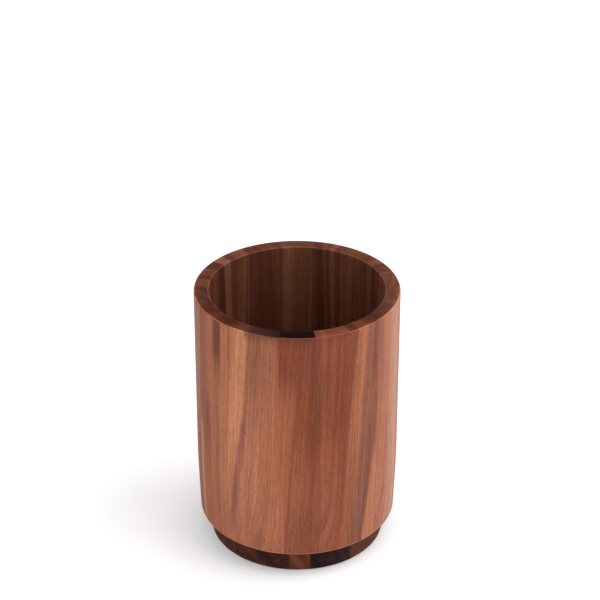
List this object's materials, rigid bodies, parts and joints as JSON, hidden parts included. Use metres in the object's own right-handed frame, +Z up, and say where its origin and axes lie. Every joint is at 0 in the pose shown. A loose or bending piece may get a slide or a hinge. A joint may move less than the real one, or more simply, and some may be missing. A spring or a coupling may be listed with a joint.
{
  "type": "rotating utensil holder",
  "caption": "Round coopered wooden crock for kitchen utensils that turns on a low round base through a hidden ball-bearing turntable.",
  "frame": {"origin": "on the axis of turning, in the plane that the undersides of the rubber feet stand on", "axes": "+Z up along the axis of turning, -Y towards the front, +X to the right seen from the front"},
  "size_m": [0.14, 0.14, 0.191],
  "materials": {
    "stave_wood": "acacia, fine vertical grain, satin oil finish",
    "floor_wood": "acacia, edge-glued strips, satin oil finish",
    "base_wood": "dark acacia, edge-glued strips, satin oil finish",
    "bearing_steel": "zinc-plated pressed sheet",
    "ball_steel": "polished",
    "screw_steel": "zinc-plated",
    "foot_rubber": "matte"
  },
  "bodies": {
    "base": {"base_strip_1": "base_wood", "base_strip_2": "base_wood", "base_strip_3": "base_wood", "base_strip_4": "base_wood", "base_strip_5": "base_wood", "base_strip_6": "base_wood", "base_strip_7": "base_wood", "bearing_base_plate": "bearing_steel", "base_screws": "screw_steel", "rubber_feet": "foot_rubber"},
    "crock": {"stave_01": "stave_wood", "stave_02": "stave_wood", "stave_03": "stave_wood", "stave_04": "stave_wood", "stave_05": "stave_wood", "stave_06": "stave_wood", "stave_07": "stave_wood", "stave_08": "stave_wood", "stave_09": "stave_wood", "stave_10": "stave_wood", "stave_11": "stave_wood", "stave_12": "stave_wood", "stave_13": "stave_wood", "stave_14": "stave_wood", "stave_15": "stave_wood", "stave_16": "stave_wood", "stave_17": "stave_wood", "stave_18": "stave_wood", "floor_strip_1": "floor_wood", "floor_strip_2": "floor_wood", "floor_strip_3": "floor_wood", "floor_strip_4": "floor_wood", "floor_strip_5": "floor_wood", "bearing_crock_plate": "bearing_steel", "crock_screws": "screw_steel"},
    "ball_ring": {"bearing_balls": "ball_steel"}
  },
  "joints": [
    {"name": "turntable_spin", "type": "hinge", "parent": "base", "child": "crock", "pos_m": [0, 0, 0.0211], "axis": [0, 0, 1], "continuous": true},
    {"name": "ball_ring_roll", "type": "hinge", "parent": "base", "child": "ball_ring", "pos_m": [0, 0, 0.0211], "axis": [0, 0, 1], "continuous": true}
  ],
  "couplings": [
    {"joint": "ball_ring_roll", "follows": "turntable_spin", "ratio": 0.5}
  ]
}
